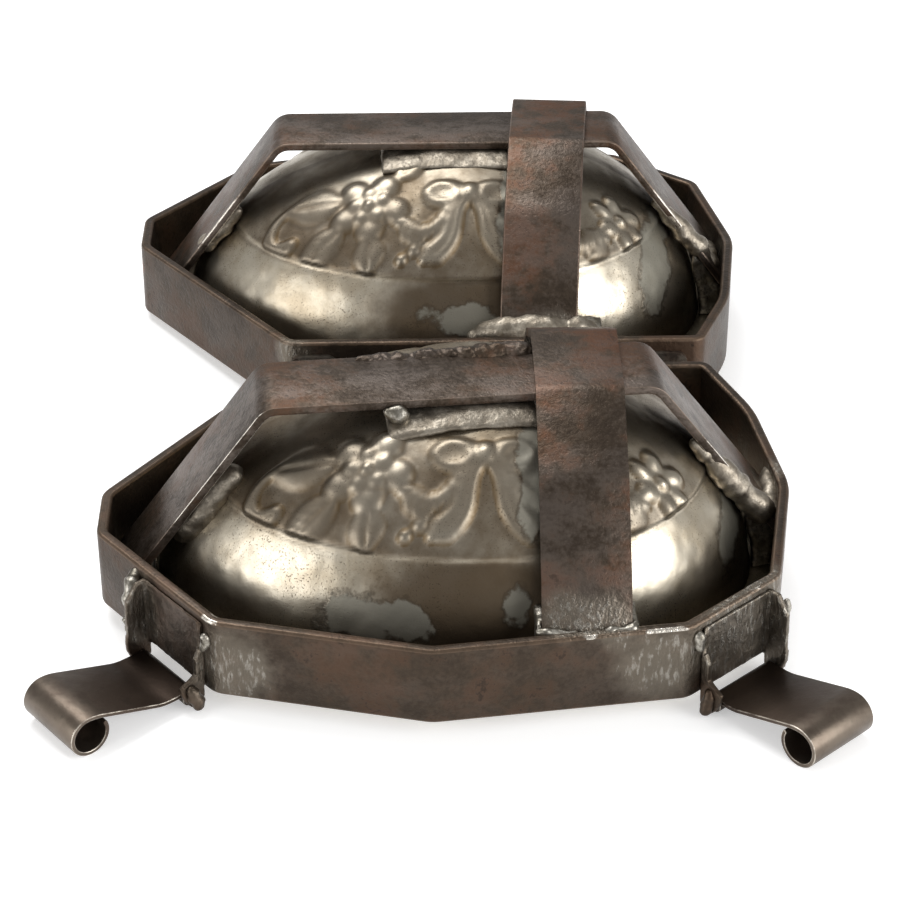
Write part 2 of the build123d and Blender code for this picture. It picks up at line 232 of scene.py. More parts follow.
def makeStripSteel(kind):
    look = stripSteel
    part = look[kind]
    steel = Shader(kind + "Steel")
    patches = steel.noise(look["patchSize"], 3.0, 0.55)
    bloomZones = steel.noise(look["patchSize"] * 0.7, 5.0, 0.64, steel.stretched((0.7, 1.3, 1.3)))
    mottle = steel.noise(look["mottleSize"], 5.0, 0.62)
    grain = steel.noise(look["grainSize"], 3.0, 0.6)
    brown = (patches * 0.5 + mottle * 0.3 + grain * 0.2).between(0.36, 0.62)
    colour = steel.mix(brown, look["dark"], look["brown"])
    russet = (patches * 0.55 + mottle * 0.45).between(0.46, 0.6)
    colour = steel.mix(russet * part["russet"], colour, look["russet"])
    bloom = (bloomZones * 0.6 + mottle * 0.2 + grain * 0.2).between(0.43, 0.6)
    colour = steel.mix(bloom * part["bloom"], colour, look["bloom"])
    spots = (mottle * 0.6 + grain * 0.4).between(0.55, 0.66)
    colour = steel.mix((spots * 0.5 + part["soot"]).clipped(), colour, look["spots"])
    smears = 0.0
    for radius, places in look["smears"].values():
        smears = smears + steel.near(places, radius)
    film = (smears * 0.8 + mottle * 0.8 - 0.55).between(0.0, 0.6)
    colour = steel.mix(film * 0.6, colour, look["film"])
    streaks = steel.noise(look["grainSize"], 4.0, 0.62, steel.stretched((1.0, 1.0, 0.3)))
    bright = (film * 0.45 + streaks * 1.5 + mottle * 0.5 - 1.42).between(0.0, 0.3)
    colour = steel.mix(bright * 0.6, colour, look["solder"])
    radius, places = look["rustSpots"]
    rusty = (steel.near(places, radius) + mottle * 0.8 - 0.85).between(0.0, 0.4)
    colour = steel.mix(rusty * 0.4, colour, look["rust"])
    rim = steel.attribute("edge")
    edge = (rim * 0.8 + mottle * 0.9 + bloomZones * 0.5 - 1.25).between(0.0, 0.3)
    colour = steel.mix(edge * part["edgeCover"], colour, part["edge"])
    # painted highlight: near-white edges at set places, partly worn bare metal and partly glints of light painted
    # in
    radius, places = part["bare_and_painted_glint"]
    worn = steel.near(places, radius)
    bare_and_painted_glint = (rim * 0.5 + worn * worn + grain * 0.9 + mottle * 0.6 - 1.95).between(0.0, 0.3)
    colour = steel.mix(bare_and_painted_glint * 0.9, colour, look["bright"])
    rubbed = look["roughness"] - bloom * 0.05 - film * 0.08 - bright * 0.1 - bare_and_painted_glint * 0.14
    height = mottle * 0.5 + grain * 0.4 + streaks * film * 0.9 - spots * 0.2
    return steel.finish(
        Base_Color=colour,
        Metallic=look["metallic"],
        Roughness=(rubbed + russet * 0.06).clipped(),
        Normal=steel.bump(height, look["relief"]),
    )


# Tinned sheet of the shells: champagne grey where rubbed, ochre brown in the hollows, brown where tarnished and as
# painted dark reflections, duller grey where soldered
tinnedSheet = {
    "clean": tone(188, 180, 164),
    "warm": tone(156, 144, 124),
    "brown": tone(72, 58, 43),
    "ochre": tone(86, 68, 42),
    "wash": tone(136, 134, 124),
    "specks": tone(66, 57, 47),
    "cloudSize": 0.045,
    "speckSize": 0.0007,
    "metallic": 1.0,
    "roughness": 0.27,
    "relief": (0.2, 0.002),
}


def makeTinnedSheet():
    look = tinnedSheet
    tin = Shader("tinnedSheet")
    clouds = tin.noise(look["cloudSize"], 3.0, 0.5)
    smears = tin.noise(look["cloudSize"] * 0.3, 5.0, 0.62)
    specks = tin.noise(look["speckSize"], 2.0, 0.5)
    speckZones = tin.noise(look["cloudSize"] * 0.5, 2.0, 0.5)
    colour = tin.mix((clouds * 0.6 + smears * 0.4).between(0.36, 0.62), look["clean"], look["warm"])
    # brown from patina and from painted dark reflections of the room and the frame
    dark = (tin.attribute("patina_and_painted_reflection") * 1.1 + smears * 0.6 - 0.45).between(0.0, 0.8)
    colour = tin.mix(dark * 0.85, colour, look["brown"])
    hollows = (tin.attribute("recess") * 1.2 + smears * 0.5 - 0.35).between(0.1, 0.8)
    colour = tin.mix(hollows * 0.78, colour, look["ochre"])
    polish = tin.attribute("polish")
    colour = tin.mix(polish * 0.4, colour, look["clean"])
    speckMask = specks.between(0.58, 0.7) * speckZones.between(0.36, 0.6)
    colour = tin.mix(speckMask * 0.65, colour, look["specks"])
    solder = tin.attribute("wash") + smears * 1.5
    wash = (solder - 1.22).between(0.0, 0.14)
    outline = (solder - 1.14).between(0.0, 0.12) - (solder - 1.28).between(0.0, 0.12)
    colour = tin.mix(wash * 0.75, colour, look["wash"])
    colour = tin.mix(outline.clipped() * 0.5, colour, look["specks"])
    dulled = look["roughness"] - polish * 0.1 + smears * 0.14 + dark * 0.14 + hollows * 0.1
    height = smears * 0.5 + clouds * 0.5 - speckMask * 0.08 + wash * 0.2
    return tin.finish(
        Base_Color=colour,
        Metallic=look["metallic"],
        Roughness=(dulled + speckMask * 0.1 + wash * 0.14).clipped(),
        Normal=tin.bump(height, look["relief"]),
    )


# Soft solder: rough bright runs, and the smoother grey layer on the crowns
softSolder = {
    "run": {"dull": tone(112, 107, 97), "bright": tone(176, 172, 163), "dirt": 0.6, "roughness": 0.28},
    "layer": {"dull": tone(122, 114, 102), "bright": tone(158, 150, 137), "dirt": 0.35, "roughness": 0.36},
    "dirt": tone(66, 57, 48),
    "lumpSize": 0.005,
    "grainSize": 0.0013,
    "metallic": 1.0,
    "relief": (0.45, 0.0011),
}


def makeSoftSolder(kind):
    look = softSolder
    part = look[kind]
    solder = Shader(kind + "Solder")
    lumps = solder.noise(look["lumpSize"], 4.0, 0.6)
    grain = solder.noise(look["grainSize"], 3.0, 0.6)
    colour = solder.mix(lumps.between(0.4, 0.64), part["dull"], part["bright"])
    dirt = (grain * 0.55 + lumps * 0.45).between(0.5, 0.62)
    colour = solder.mix(dirt * part["dirt"], colour, look["dirt"])
    return solder.finish(
        Base_Color=colour,
        Metallic=look["metallic"],
        Roughness=(grain * 0.2 + dirt * 0.12 + part["roughness"]).clipped(),
        Normal=solder.bump(lumps * 0.7 + grain * 0.3, look["relief"]),
    )


# Plate and wire of the hinges and pins, tinned over with solder
plateSteel = {
    "dark": tone(74, 65, 58),
    "brown": tone(100, 87, 76),
    "smear": tone(146, 141, 131),
    "patchSize": 0.012,
    "grainSize": 0.0022,
    "metallic": 0.9,
    "roughness": 0.46,
    "relief": (0.4, 0.0011),
}


def makePlateSteel():
    look = plateSteel
    plate = Shader("plateSteel")
    patches = plate.noise(look["patchSize"], 5.0, 0.6)
    grain = plate.noise(look["grainSize"], 3.0, 0.6)
    colour = plate.mix(grain.between(0.4, 0.6), look["dark"], look["brown"])
    smear = (patches * 0.75 + grain * 0.25).between(0.42, 0.64)
    colour = plate.mix(smear * 0.8, colour, look["smear"])
    return plate.finish(
        Base_Color=colour,
        Metallic=look["metallic"],
        Roughness=(look["roughness"] - smear * 0.16 + grain * 0.06).clipped(),
        Normal=plate.bump(patches * 0.6 + grain * 0.4, look["relief"]),
    )


# Thin strip of the swing clips: dark at the root and worn towards the curl
clipSteel = {
    "root": tone(56, 46, 39),
    "middle": tone(74, 63, 55),
    "worn": tone(112, 102, 91),
    "bright": tone(200, 192, 180),
    "flecks": tone(52, 44, 38),
    "fleckSize": 0.006,
    "wornOver": 0.05,
    "metallic": 0.9,
    "roughness": 0.4,
    "relief": (0.3, 0.001),
}


def makeClipSteel(side):
    look = clipSteel
    joint = jointOf(side + "_clip_hinge")
    pin = Vector(joint["pos_m"])
    axis = Vector(joint["axis"])
    away = Vector((axis.y, -axis.x, 0)).normalized()
    steel = Shader(side + "ClipSteel")
    factors = {0: steel.place, 1: away}
    reach = steel.node("ShaderNodeVectorMath", {"operation": "DOT_PRODUCT"}, factors, "Value")
    along = (reach - pin.dot(away)) * (1 / look["wornOver"])
    flecks = steel.noise(look["fleckSize"], 5.0, 0.62)
    patches = steel.noise(look["fleckSize"] * 3, 4.0, 0.6)
    colour = steel.mix((along + patches * 0.5 - 0.25).between(0.05, 0.6), look["root"], look["middle"])
    worn = (along * 0.9 + flecks * 0.6 + patches * 0.4 - 0.5).between(0.45, 0.95)
    colour = steel.mix(worn * 0.85, colour, look["worn"])
    colour = steel.mix(flecks.between(0.54, 0.68) * 0.4, colour, look["flecks"])
    edge = (steel.attribute("edge") * 0.8 + flecks * 0.8 + patches * 0.6 - 1.35).between(0.0, 0.25)
    colour = steel.mix(edge * 0.85, colour, look["bright"])
    return steel.finish(
        Base_Color=colour,
        Metallic=look["metallic"],
        Roughness=(look["roughness"] - worn * 0.08 - edge * 0.1 + flecks * 0.06).clipped(),
        Normal=steel.bump(flecks * 0.5 + patches * 0.5, look["relief"]),
    )


materials = {
    "frame": makeStripSteel("frame"),
    "longStrap": makeStripSteel("longStrap"),
    "crossStrap": makeStripSteel("crossStrap"),
    "bracket": makeStripSteel("bracket"),
    "tin": makeTinnedSheet(),
    "run": makeSoftSolder("run"),
    "layer": makeSoftSolder("layer"),
    "plate": makePlateSteel(),
}
clipMaterials = {side: makeClipSteel(side) for side in ("left", "right")}
print("materials ready")


def pick(piece):
    bpy.ops.object.select_all(action="DESELECT")
    piece.select_set(True)
    bpy.context.view_layer.objects.active = piece


def dress(piece, material):
    piece.data.materials.clear()
    piece.data.materials.append(material)


def bodyOf(node):
    bodies = frame["record"]["behaviour"]["bodies"]
    return next(body for body, members in bodies.items() if node in members)


def slotOf(node):
    return next(s["material_slot"] for s in frame["record"]["subparts"] if s["node"] == node)


def handIn(piece, node, material):
    # the piece takes a node's place, on the node's body
    dress(piece, material)
    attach(piece, bodyOf(node))
    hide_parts(node)
    slotOf(node)


def join(pieces):
    # the pieces become one, under the last one's name
    bpy.ops.object.select_all(action="DESELECT")
    for piece in pieces:
        piece.select_set(True)
    bpy.context.view_layer.objects.active = pieces[-1]
    bpy.ops.object.join()
    return pieces[-1]


# How near points are merged, and how flat neighbouring triangles are joined to one face
merging = {"within": 0.002 * mm, "flatTo": radians(0.6)}


def copyOf(node, name):
    # a node's shape as a new merged mesh, its flats joined to whole faces
    piece = bpy.data.objects.new(name, nodes[node].data.copy())
    bpy.context.collection.objects.link(piece)
    pick(piece)
    bpy.ops.object.mode_set(mode="EDIT")
    bpy.ops.mesh.select_all(action="SELECT")
    bpy.ops.mesh.remove_doubles(threshold=merging["within"])
    bpy.ops.mesh.dissolve_limited(angle_limit=merging["flatTo"])
    bpy.ops.object.mode_set(mode="OBJECT")
    piece.data.materials.clear()
    return piece


def applyModifier(piece, kind, **settings):
    pick(piece)
    modifier = piece.modifiers.new(kind.lower(), kind)
    for key, value in settings.items():
        setattr(modifier, key, value)
    bpy.ops.object.modifier_apply(modifier=modifier.name)


def store(piece, name, values):
    layer = piece.data.attributes.new(name, "FLOAT", "POINT")
    layer.data.foreach_set("value", values)


# Bars cut from strip: how far each is worn round at its edges
bars = {
    "frame": 1.1 * mm,
    "long_strap": 0.6 * mm,
    "cross_strap": 0.6 * mm,
    "clip": 0.3 * mm,
    "edgeSteps": 3,
    "sharpest": radians(28),
    "smoothUpTo": radians(38),
}


def markEdges(piece):
    # 1 at the corners of the rounded faces, which have the second material index, and 0 elsewhere
    worn = np.zeros(len(piece.data.loops))
    for face in piece.data.polygons:
        if face.material_index == 1:
            worn[list(face.loop_indices)] = 1
    layer = piece.data.attributes.new("edge", "FLOAT", "CORNER")
    layer.data.foreach_set("value", worn)


def makeBar(node, material, wornRound):
    piece = copyOf(node, node + "_bar")
    piece.data.materials.append(None)
    piece.data.materials.append(None)
    applyModifier(
        piece, "BEVEL",
        width=wornRound, segments=bars["edgeSteps"], limit_method="ANGLE",
        angle_limit=bars["sharpest"], material=1,
    )
    markEdges(piece)
    bpy.ops.object.shade_smooth_by_angle(angle=bars["smoothUpTo"])
    handIn(piece, node, material)


barMaterials = {"frame": "frame", "long_strap": "longStrap", "cross_strap": "crossStrap"}
for half in halves:
    for bar, material in barMaterials.items():
        makeBar(f"{half}_{bar}", materials[material], bars[bar])
for side, material in clipMaterials.items():
    makeBar(side + "_clip", material, bars["clip"])
print("bars and clips ready")

# Shells: half eggs pressed with a raised panel and an ornament on it
shells = {
    "middle": Vector((8 * mm, 94 * mm, 0)),
    "toPoint": 115 * mm,
    "toBlunt": 97 * mm,
    "radius": 76.4 * mm,
    "sheet": 1.2 * mm,
    "flangeTop": 1.35 * mm,
    "panelHeight": 44 * mm,
    "panelStep": 1.3 * mm,
    "panelBlend": 1.8 * mm,
    "footRadius": 3.5 * mm,
    "farSide": 0.4,
    "blur": {"reach": 1.2, "middle": 0.4, "beside": 0.15},
    "outerGrid": (440, 380),
    "innerGrid": (140, 90),
    "dentSize": 18 * mm,
    "dentDepth": 0.9 * mm,
    "smoothUpTo": radians(75),
}

# Solder washed over the shells, as (place along the egg, height, half length, half height) in millimetres
washes = {
    "front": [(-42, 24, 16, 10), (-26, 24, 9, 9), (11, 30, 7, 8), (17, 62, 7, 16), (88, 30, 6, 16)],
    "rear": [(-4, 31, 17, 7), (12, 27, 9, 6), (76, 36, 8, 18), (17, 62, 7, 14)],
}

# Motifs of the ornament in millimetres: place along the egg and down from its crown, half width, rise
roundels = {
    "rose": ((-38, 38), 12.0, 2.6),
    "leftLoop": ((-8, 37), 9.0, 2.4),
    "rightLoop": ((10, 37), 8.5, 2.4),
    "blossom": ((60, 32), 10.0, 2.4),
}


def turnedBy(s, w, at, angle):
    # places on the panel in a motif's own axes: along and across it
    a = radians(angle)
    x, y = s - at[0], w - at[1]
    return x * cos(a) + y * sin(a), y * cos(a) - x * sin(a)


def oval(along, across, length, width):
    # 1 in the middle, falling over a round shoulder to 0 at the rim
    return np.clip(1 - (along / length) ** 2 - (across / width) ** 2, 0, 1) ** 0.7


def groove(gap, width):
    return np.exp(-((gap / width) ** 2))


def leaf(s, w, at, angle, length, width):
    # a cupped leaf with a vein and side veins
    along, across = turnedBy(s, w, at, angle)
    half = width * np.sin(np.pi * np.clip(along / length, 0, 1) ** 0.8)
    body = np.clip(1 - (across / np.maximum(half, 0.3)) ** 2, 0, 1) ** 0.6 * (half > 0.3)
    sideVeins = groove(np.sin((along - 1.2 * np.abs(across)) * 1.5), 0.35) * 0.16
    return 1.7 * body * np.clip(half / 2, 0, 1) * (1 - 0.5 * groove(across, 0.7) - sideVeins)


def petals(s, w, at, count, turn, reach, length, width, rise):
    # a ring of petals, each higher towards its outer lip
    height = np.zeros_like(s)
    for k in range(count):
        along, across = turnedBy(s, w, at, turn + 360 * k / count)
        lip = rise * (0.72 + 0.28 * np.clip((along - reach) / length + 0.4, 0, 1))
        height = np.maximum(height, lip * oval(along - reach, across, length, width))
    return height


def rose(s, w, at, size, rise):
    along, across = turnedBy(s, w, at, 0)
    return np.maximum.reduce([
        petals(s, w, at, 5, 20, size * 0.62, size * 0.5, size * 0.42, rise * 0.85),
        petals(s, w, at, 5, 56, size * 0.3, size * 0.38, size * 0.32, rise * 1.05),
        rise * 1.2 * oval(along, across, size * 0.24, size * 0.24),
    ])


def ribbon(s, w, points, widths, rise, twist=0.0):
    # a round band along a bezier, its width running from first to last, twisted like a rope if asked
    p0, p1, p2, p3 = np.array(points, float)
    low = np.min(points, axis=0) - max(widths)
    high = np.max(points, axis=0) + max(widths)
    height = np.zeros_like(s)
    close = (s > low[0]) & (s < high[0]) & (w > low[1]) & (w < high[1])
    s, w = s[close], w[close]
    nearest = np.full(s.shape, 1e9)
    width = np.ones_like(s)
    run = np.zeros_like(s)
    side = np.zeros_like(s)
    for t in np.linspace(0, 1, 121):
        q = (1 - t) ** 3 * p0 + 3 * t * (1 - t) ** 2 * p1 + 3 * t * t * (1 - t) * p2 + t ** 3 * p3
        gap = np.hypot(s - q[0], w - q[1])
        closer = gap < nearest
        nearest = np.where(closer, gap, nearest)
        width = np.where(closer, widths[0] + (widths[1] - widths[0]) * t, width)
        run = np.where(closer, t, run)
        side = np.where(closer, w - q[1], side)
    body = rise * np.clip(1 - (nearest / width) ** 2, 0, 1) ** 0.6
    if twist:
        body *= 0.82 + 0.18 * np.sin(run * twist + side * 1.3)
    else:
        body *= 1 - 0.35 * groove(nearest, 0.3 * width)
    height[close] = body
    return height


def bow(s, w):
    # two drawn loops on their roundels, a knot and two tails that swell to their ends
    height = np.zeros_like(s)
    for name, out in (("leftLoop", -1), ("rightLoop", 1)):
        at, size, rise = roundels[name]
        along, across = turnedBy(s, w, at, -out * 12)
        loop = 1.15 * rise * oval(along, across, size * 1.15, size * 0.82)
        hollow = 0.7 * rise * oval(along - out * 1.5, across, size * 0.62, size * 0.38)
        folds = 0.4 * groove(across - 3, 0.9) + 0.4 * groove(across + 3, 0.9)
        height = np.maximum(height, loop - hollow - folds * (loop > 0.5))
        tail = [(1 + out * 2, 40), (1 + out * 9, 47), (1 + out * 4, 55), (1 + out * 14, 62)]
        height = np.maximum(height, ribbon(s, w, tail, (2.6, 5.4), 2.3))
    along, across = turnedBy(s, w, (1, 37), 0)
    knot = 3.2 * oval(along, across, 4.8, 5.4) * (1 - 0.15 * groove(np.sin(across * 1.6), 0.4))
    return np.maximum(height, knot)


def ornament(s, w):
    # heights in mm over the panel: s mm along the egg from its middle, w mm down from its crown
    berries = [((-21, 60), 3.0), ((-26, 63), 2.6), ((-17, 64), 2.6), ((37, 60), 2.8), ((32, 63), 2.4)]
    at, size, rise = roundels["blossom"]
    along, across = turnedBy(s, w, at, 0)
    motifs = [
        rose(s, w, roundels["rose"][0], 14.5, 3.1),
        leaf(s, w, (-48, 33), 196, 26, 8.0),
        leaf(s, w, (-48, 44), 150, 25, 7.6),
        leaf(s, w, (-38, 50), 96, 18, 6.8),
        leaf(s, w, (-28, 27), 322, 16, 5.4),
        leaf(s, w, (-26, 47), 52, 15, 5.2),
        ribbon(s, w, [(-28, 44), (-22, 55), (-13, 56), (-7, 44)], (3.4, 3.4), 2.1, 60),
        bow(s, w),
        ribbon(s, w, [(9, 45), (18, 58), (40, 59), (53, 42)], (3.4, 3.4), 2.1, 100),
        leaf(s, w, (19, 33), -8, 20, 6.2),
        petals(s, w, at, 6, 10, size * 0.64, size * 0.52, size * 0.36, rise * 1.1),
        rise * 1.3 * oval(along, across, size * 0.3, size * 0.3),
        leaf(s, w, (52, 41), 112, 16, 5.8),
        leaf(s, w, (68, 38), 50, 15, 5.6),
        ribbon(s, w, [(-66, 26), (-80, 26), (-82, 42), (-70, 42)], (1.8, 3.4), 2.0),
    ]
    for place, size in berries:
        along, across = turnedBy(s, w, place, 0)
        motifs.append(1.9 * oval(along, across, size, size))
    return np.maximum.reduce(motifs)


def facing(x, y, z):
    # direction out of the half egg at its places
    far = np.where(x < 0, shells["toPoint"], shells["toBlunt"])
    normal = np.stack([x / far ** 2, y / shells["radius"] ** 2, z / shells["radius"] ** 2], 1)
    return normal / np.linalg.norm(normal, axis=1)[:, None]


def footFlare(places):
    # spreads the foot of the half egg into its flange
    foot = np.clip(1 - places[:, 2] / shells["footRadius"], 0, 1)
    flare = shells["footRadius"] * (1 - np.sqrt(1 - foot ** 2))
    level = places * (1, 1, 0)
    return level / np.linalg.norm(level, axis=1)[:, None] * flare[:, None]


def pressed(places):
    # the panel, its ornament, its stains and its painted dark reflections, by place on the smooth half egg
    x, y, z = places.T
    rise = np.clip((z - shells["panelHeight"]) / shells["panelBlend"] + 0.5, 0, 1)
    panel = rise * rise * (3 - 2 * rise)
    down = np.arctan2(np.abs(y), z) * np.hypot(y, z) / mm
    s = x / mm * np.where(y < 0, 1, -1)
    strength = np.where(y < 0, 1.0, shells["farSide"]) * panel
    height = np.zeros(len(x))
    around = np.zeros(len(x))
    on = panel > 0
    blur = shells["blur"]
    height[on] = blur["middle"] * ornament(s[on], down[on])
    for a, b in ((1, 0), (-1, 0), (0, 1), (0, -1)):
        beside = ornament(s[on] + a * blur["reach"], down[on] + b * blur["reach"])
        height[on] += blur["beside"] * beside
        around[on] = np.maximum(around[on], beside)
    height *= strength
    recess = np.clip(around * strength - height, 0, 1.5) / 1.5
    lip = groove(z - shells["panelHeight"] + 1.2 * mm, 1.0 * mm)
    # tarnish over the panel, deepened as a painted darker reflection of the room, with a painted shade line just
    # under the panel's step
    onPanel = 0.66 * panel * (1 - 0.5 * groove(down - 14, 14)) + 0.15 * groove(s + 74, 34) + 0.4 * lip
    # painted reflection: a dark patch low in the middle, standing for the dark camera side mirrored in the sheet
    below = 1.5 * groove(z - 31 * mm, 15 * mm) * groove(s + 4, 34)
    # patina and painted reflections together: the band at the foot is a painted reflection of the dark frame, the
    # left end a stain
    patina_and_painted_reflection = np.maximum.reduce([
        np.clip(onPanel, 0, 1),
        np.clip(below, 0, 1) * (1 - panel),
        0.6 * groove(z - 20 * mm, 18 * mm) * groove(s + 104, 20),
        0.85 * groove(z, 12 * mm),
    ])
    return {
        "out": panel * shells["panelStep"] + height * mm,
        "recess": recess,
        "patina_and_painted_reflection": patina_and_painted_reflection,
        "polish": np.clip(height / 3, 0, 1),
    }


def halfEgg(name, grid):
    # the smooth half egg, its long axis along X
    around, along = grid
    bpy.ops.object.select_all(action="DESELECT")
    bpy.ops.mesh.primitive_uv_sphere_add(
        segments=around, ring_count=along, radius=1, rotation=(0, radians(90), 0)
    )
    egg = bpy.context.object
    egg.name = name
    bpy.ops.object.transform_apply(rotation=True)
    bpy.ops.object.mode_set(mode="EDIT")
    bpy.ops.mesh.select_all(action="SELECT")
    bpy.ops.transform.resize(value=(shells["toBlunt"], shells["radius"], shells["radius"]))
    bpy.ops.mesh.bisect(
        plane_co=(0, 0, shells["flangeTop"]), plane_no=(0, 0, 1), use_fill=False, clear_inner=True
    )
    bpy.ops.object.mode_set(mode="OBJECT")
    places = placesOf(egg)
    places[:, 0] *= np.where(places[:, 0] < 0, shells["toPoint"] / shells["toBlunt"], 1)
    egg.data.vertices.foreach_set("co", places.ravel())
    return egg, places


def placesOf(piece):
    places = np.empty(len(piece.data.vertices) * 3)
    piece.data.vertices.foreach_get("co", places)
    return places.reshape(-1, 3)


def pressHalfEgg():
    # outer face with the relief and a coarser inner face a sheet's thickness within, joined at the foot
    outer, places = halfEgg("shell_outer", shells["outerGrid"])
    relief = pressed(places)
    moved = places + facing(*places.T) * relief["out"][:, None] + footFlare(places)
    outer.data.vertices.foreach_set("co", moved.ravel())
    for layer in ("recess", "patina_and_painted_reflection", "polish"):
        store(outer, layer, relief[layer])
    inner, places = halfEgg("shell_inner", shells["innerGrid"])
    depth = pressed(places)["out"] - shells["sheet"]
    moved = places + facing(*places.T) * depth[:, None] + footFlare(places)
    inner.data.vertices.foreach_set("co", moved.ravel())
    pick(inner)
    bpy.ops.object.mode_set(mode="EDIT")
    bpy.ops.mesh.select_all(action="SELECT")
    bpy.ops.mesh.flip_normals()
    bpy.ops.object.mode_set(mode="OBJECT")
    join([inner, outer])
    bpy.ops.object.mode_set(mode="EDIT")
    bpy.ops.mesh.select_mode(type="EDGE")
    bpy.ops.mesh.select_all(action="DESELECT")
    bpy.ops.mesh.select_non_manifold(
        extend=False, use_wire=False, use_boundary=True, use_multi_face=False,
        use_non_contiguous=False, use_verts=False,
    )
    bpy.ops.mesh.bridge_edge_loops()
    bpy.ops.object.mode_set(mode="OBJECT")
    dents = bpy.data.textures.new("dents", "CLOUDS")
    dents.noise_scale = shells["dentSize"]
    applyModifier(outer, "DISPLACE", texture=dents, strength=shells["dentDepth"], mid_level=0.5)
    return outer


def makeShell(name, pressing):
    half = halves[name]
    flange = copyOf(name + "_shell", name + "_shell_flange")
    cutAt = half["place"] @ Vector((0, 0, shells["flangeTop"]))
    upward = half["place"].to_3x3() @ Vector((0, 0, 1))
    bpy.ops.object.mode_set(mode="EDIT")
    bpy.ops.mesh.select_all(action="SELECT")
    bpy.ops.mesh.bisect(plane_co=cutAt, plane_no=upward, use_fill=False, clear_outer=True)
    bpy.ops.object.mode_set(mode="OBJECT")
    egg = bpy.data.objects.new(name + "_shell_pressed", pressing.data.copy())
    bpy.context.collection.objects.link(egg)
    x, y, z = placesOf(egg).T / mm
    wash = [groove(x - s, length) * groove(z - up, width) for s, up, length, width in washes[name]]
    store(egg, "wash", np.where(y < 0, np.maximum.reduce(wash), 0))
    middle = Vector((shells["middle"].x, half["outward"] * shells["middle"].y, 0))
    egg.data.transform(half["place"] @ Matrix.Translation(middle))
    join([flange, egg])
    bpy.ops.object.shade_smooth_by_angle(angle=shells["smoothUpTo"])
    handIn(egg, name + "_shell", materials["tin"])


pressing = pressHalfEgg()
for half in halves:
    makeShell(half, pressing)
bpy.data.objects.remove(pressing)
print("shells ready")

# Solder: how finely each kind is melted, how often it is smoothed, and the size and height of its lumps
solderLumps = {
    "run": {"made": "run", "voxel": 0.8 * mm, "smoothing": 6, "size": 6 * mm, "height": 1.5 * mm},
    "layer": {"made": "layer", "voxel": 0.5 * mm, "smoothing": 45, "size": 9 * mm, "height": 1.2 * mm},
    "web": {"made": "layer", "voxel": 0.7 * mm, "smoothing": 18, "size": 9 * mm, "height": 1.8 * mm},
    "foot": {"made": "bracket", "voxel": 0.6 * mm, "smoothing": 5, "size": 5 * mm, "height": 1.0 * mm},
    "ragged": {"made": "longStrap", "voxel": 0.6 * mm, "smoothing": 2, "size": 4 * mm, "height": 2.2 * mm},
    "plate": {"made": "bracket", "voxel": 0.6 * mm, "smoothing": 2, "size": 5 * mm, "height": 0.5 * mm},
}


def melt(piece, kind):
    # rounds a blocky mesh, raises lumps on it and returns its material
    look = solderLumps[kind]
    applyModifier(piece, "REMESH", mode="VOXEL", voxel_size=look["voxel"])
    applyModifier(piece, "SMOOTH", factor=0.6, iterations=look["smoothing"])
    clouds = bpy.data.textures.new(piece.name, "CLOUDS")
    clouds.noise_scale = look["size"]
    clouds.noise_depth = 2
    applyModifier(
        piece, "DISPLACE", texture=clouds, strength=look["height"], mid_level=0.5, texture_coords="LOCAL"
    )
    pick(piece)
    bpy.ops.object.shade_smooth()
    return materials[look["made"]]


# Brackets: the ear nearer the middle is worn down to a low rib over a full foot
innerEar = {
    "from": 14 * mm,
    "pinOut": 5 * mm,
    "web": 1.2 * mm,
    "foot": 10 * mm,
    "blend": 6 * mm,
    "lower": 0.55,
    "narrower": 0.62,
}


def wearEar(piece, side):
    joint = jointOf(side + "_clip_hinge")
    pin = np.array(joint["pos_m"])
    axis = np.array(joint["axis"])
    inward = axis * np.sign((hinge.x - pin[0]) * axis[0])
    out = np.array((inward[1], -inward[0], 0)) * np.sign(inward[0])
    places = placesOf(piece)
    gap = (places - pin) @ out + innerEar["pinOut"]
    ear = ((places - pin) @ inward > innerEar["from"]) * np.clip(gap / innerEar["web"] - 1, 0, 1)
    above = np.clip(places[:, 2] - innerEar["foot"], 0, None)
    share = np.clip(above / innerEar["blend"], 0, 1) * ear
    places -= out * (gap * share * innerEar["narrower"])[:, None]
    places[:, 2] -= above * ear * (1 - innerEar["lower"])
    piece.data.vertices.foreach_set("co", places.ravel())


for node, cad in nodes.items():
    if slotOf(node) == "solder":
        melted = copyOf(node, node + "_lumps")
        material = melt(melted, "layer" if "crown" in node else "run")
        handIn(melted, node, material)
    elif "bracket" in node:
        plate = copyOf(node, node + "_plate")
        material = melt(plate, "plate")
        wearEar(plate, node.split("_")[0])
        handIn(plate, node, material)
    elif slotOf(node) == "hinge_steel":
        dress(cad, materials["plate"])
print("solder and plates ready")

